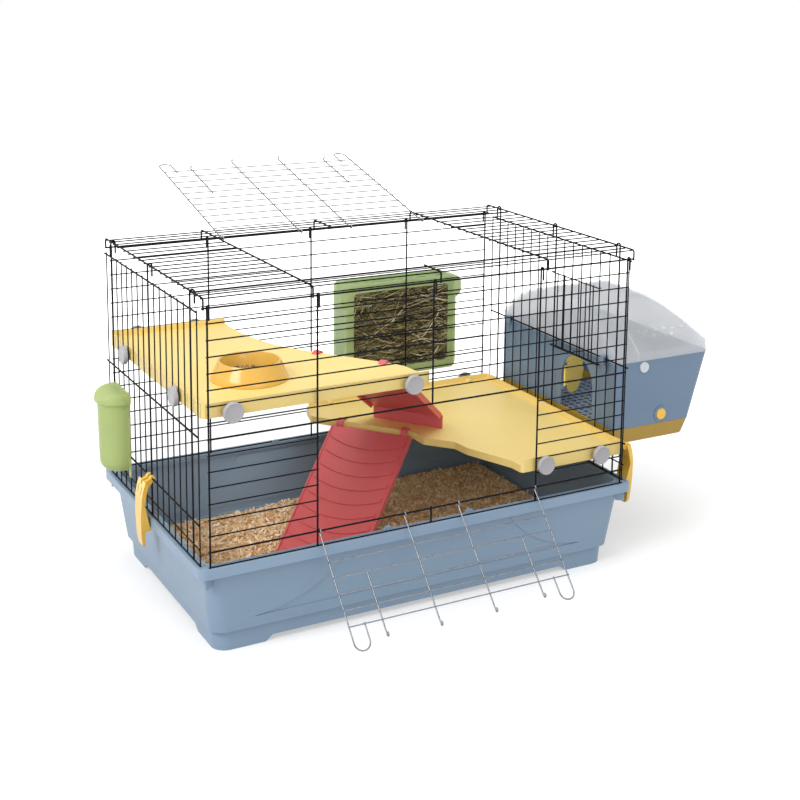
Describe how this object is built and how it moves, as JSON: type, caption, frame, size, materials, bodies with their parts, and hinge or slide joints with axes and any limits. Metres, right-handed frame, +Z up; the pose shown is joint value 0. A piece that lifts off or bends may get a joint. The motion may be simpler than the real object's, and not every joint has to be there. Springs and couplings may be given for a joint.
{
  "type": "rabbit cage",
  "caption": "Two-storey wire cage for small pets on a moulded tub, with shelves, ramps, doors, latches, feeder, hay rack and a nest box.",
  "frame": {"origin": "centre of the tub footprint, on the floor", "axes": "+X along the tub towards the nest box, -Y towards the front door, +Z up"},
  "size_m": [1.061, 0.8856, 0.6531],
  "materials": {
    "tub_plastic": "satin moulded",
    "coated_wire": "gloss powder coat",
    "plated_wire": "bright zinc plate",
    "shelf_plastic": "satin moulded",
    "bowl_plastic": "gloss moulded",
    "ramp_plastic": "satin moulded",
    "knob_plastic": "satin moulded",
    "latch_plastic": "gloss moulded",
    "feeder_plastic": "translucent moulded",
    "rack_plastic": "translucent moulded",
    "nest_plastic": "satin moulded",
    "lid_plastic": "frosted moulded",
    "tray_plastic": "satin moulded",
    "sieve_plastic": "satin moulded",
    "yellow_plastic": "gloss moulded",
    "white_plastic": "gloss moulded",
    "wood_shavings": "loose planed curls"
  },
  "bodies": {
    "cage": {"tub": "tub_plastic", "bedding": "wood_shavings", "front_panel": "coated_wire", "back_panel": "coated_wire", "left_panel": "coated_wire", "right_panel": "coated_wire", "top_panel": "coated_wire", "upper_shelf": "shelf_plastic", "lower_shelf": "shelf_plastic", "feeder_body": "feeder_plastic", "hay_rack": "rack_plastic", "nest_body": "nest_plastic", "nest_collar": "lid_plastic", "nest_tray": "tray_plastic", "nest_sieve": "sieve_plastic", "nest_pins": "white_plastic"},
    "front_door": {"front_door": "plated_wire"},
    "top_door": {"top_door": "plated_wire"},
    "side_door": {"side_door": "coated_wire"},
    "upper_ramp": {"upper_ramp": "ramp_plastic"},
    "lower_ramp": {"lower_ramp": "ramp_plastic"},
    "food_bowl": {"food_bowl": "bowl_plastic"},
    "upper_front_knob_1": {"upper_front_knob_1": "knob_plastic"},
    "upper_front_knob_2": {"upper_front_knob_2": "knob_plastic"},
    "upper_back_knob_1": {"upper_back_knob_1": "knob_plastic"},
    "upper_back_knob_2": {"upper_back_knob_2": "knob_plastic"},
    "upper_left_knob_1": {"upper_left_knob_1": "knob_plastic"},
    "upper_left_knob_2": {"upper_left_knob_2": "knob_plastic"},
    "lower_front_knob_1": {"lower_front_knob_1": "knob_plastic"},
    "lower_front_knob_2": {"lower_front_knob_2": "knob_plastic"},
    "lower_back_knob_1": {"lower_back_knob_1": "knob_plastic"},
    "lower_back_knob_2": {"lower_back_knob_2": "knob_plastic"},
    "left_latch": {"left_latch": "latch_plastic"},
    "right_front_latch": {"right_front_latch": "latch_plastic"},
    "right_back_latch": {"right_back_latch": "latch_plastic"},
    "feeder_lid": {"feeder_lid": "feeder_plastic"},
    "nest_lid": {"nest_lid": "lid_plastic"},
    "nest_flap": {"nest_flap": "yellow_plastic"},
    "nest_button_front": {"nest_button_front": "yellow_plastic"},
    "nest_button_back": {"nest_button_back": "yellow_plastic"}
  },
  "joints": [
    {"name": "front_door_hinge", "type": "hinge", "parent": "cage", "child": "front_door", "pos_m": [0, -0.237, 0.176], "axis": [-1, 0, 0], "range_deg": [0, 134]},
    {"name": "top_door_hinge", "type": "hinge", "parent": "cage", "child": "top_door", "pos_m": [0, 0.167, 0.5674], "axis": [1, 0, 0], "range_deg": [0, 166.1]},
    {"name": "side_door_slide", "type": "slide", "parent": "cage", "child": "side_door", "axis": [0, 0, -1], "range_m": [0, 0.114]},
    {"name": "upper_ramp_hinge", "type": "hinge", "parent": "cage", "child": "upper_ramp", "pos_m": [-0.06935, -0.07504, 0.3895], "axis": [0.5818, -0.8133, 0], "range_deg": [0, 35]},
    {"name": "lower_ramp_hinge", "type": "hinge", "parent": "cage", "child": "lower_ramp", "pos_m": [0.04976, 0.07115, 0.2085], "axis": [-0.6156, 0.788, 0], "range_deg": [0, 34]},
    {"name": "food_bowl_lift", "type": "slide", "parent": "cage", "child": "food_bowl", "axis": [0, 0, 1], "range_m": [0, 0.12]},
    {"name": "upper_front_knob_1_turn", "type": "hinge", "parent": "cage", "child": "upper_front_knob_1", "pos_m": [-0.343, -0.237, 0.39105], "axis": [0, 1, 0], "range_deg": [0, 90]},
    {"name": "upper_front_knob_2_turn", "type": "hinge", "parent": "cage", "child": "upper_front_knob_2", "pos_m": [-0.037, -0.237, 0.39105], "axis": [0, 1, 0], "range_deg": [0, 90]},
    {"name": "upper_back_knob_1_turn", "type": "hinge", "parent": "cage", "child": "upper_back_knob_1", "pos_m": [-0.335, 0.237, 0.39105], "axis": [0, -1, 0], "range_deg": [0, 90]},
    {"name": "upper_back_knob_2_turn", "type": "hinge", "parent": "cage", "child": "upper_back_knob_2", "pos_m": [-0.228, 0.237, 0.39105], "axis": [0, -1, 0], "range_deg": [0, 90]},
    {"name": "upper_left_knob_1_turn", "type": "hinge", "parent": "cage", "child": "upper_left_knob_1", "pos_m": [-0.392, 0.126, 0.39105], "axis": [1, 0, 0], "range_deg": [0, 90]},
    {"name": "upper_left_knob_2_turn", "type": "hinge", "parent": "cage", "child": "upper_left_knob_2", "pos_m": [-0.392, -0.126, 0.39105], "axis": [1, 0, 0], "range_deg": [0, 90]},
    {"name": "lower_front_knob_1_turn", "type": "hinge", "parent": "cage", "child": "lower_front_knob_1", "pos_m": [0.2195, -0.237, 0.21269], "axis": [0, 1, 0], "range_deg": [0, 90]},
    {"name": "lower_front_knob_2_turn", "type": "hinge", "parent": "cage", "child": "lower_front_knob_2", "pos_m": [0.334, -0.237, 0.21269], "axis": [0, 1, 0], "range_deg": [0, 90]},
    {"name": "lower_back_knob_1_turn", "type": "hinge", "parent": "cage", "child": "lower_back_knob_1", "pos_m": [0.0335, 0.237, 0.21269], "axis": [0, -1, 0], "range_deg": [0, 90]},
    {"name": "lower_back_knob_2_turn", "type": "hinge", "parent": "cage", "child": "lower_back_knob_2", "pos_m": [0.343, 0.237, 0.21269], "axis": [0, -1, 0], "range_deg": [0, 90]},
    {"name": "left_latch_swing", "type": "hinge", "parent": "cage", "child": "left_latch", "pos_m": [-0.3942, 0, 0.2175], "axis": [0, 1, 0], "range_deg": [0, 88]},
    {"name": "right_front_latch_swing", "type": "hinge", "parent": "cage", "child": "right_front_latch", "pos_m": [0.3942, -0.2086, 0.2175], "axis": [0, -1, 0], "range_deg": [0, 88]},
    {"name": "right_back_latch_swing", "type": "hinge", "parent": "cage", "child": "right_back_latch", "pos_m": [0.3942, 0.2086, 0.2175], "axis": [0, -1, 0], "range_deg": [0, 88]},
    {"name": "feeder_lid_hinge", "type": "hinge", "parent": "cage", "child": "feeder_lid", "pos_m": [-0.3985, 0.132, 0.3303], "axis": [0, 1, 0], "range_deg": [0, 70]},
    {"name": "nest_lid_lift", "type": "slide", "parent": "cage", "child": "nest_lid", "axis": [0, 0, 1], "range_m": [0, 0.08]},
    {"name": "nest_flap_hinge", "type": "hinge", "parent": "cage", "child": "nest_flap", "pos_m": [0.408, -0.0175, 0.2845], "axis": [0, 0, -1], "range_deg": [0, 122]},
    {"name": "nest_button_front_press", "type": "slide", "parent": "cage", "child": "nest_button_front", "axis": [0, 1, 0], "range_m": [0, 0.002], "stiffness_N_per_m": 300},
    {"name": "nest_button_back_press", "type": "slide", "parent": "cage", "child": "nest_button_back", "axis": [0, -1, 0], "range_m": [0, 0.002], "stiffness_N_per_m": 300}
  ]
}
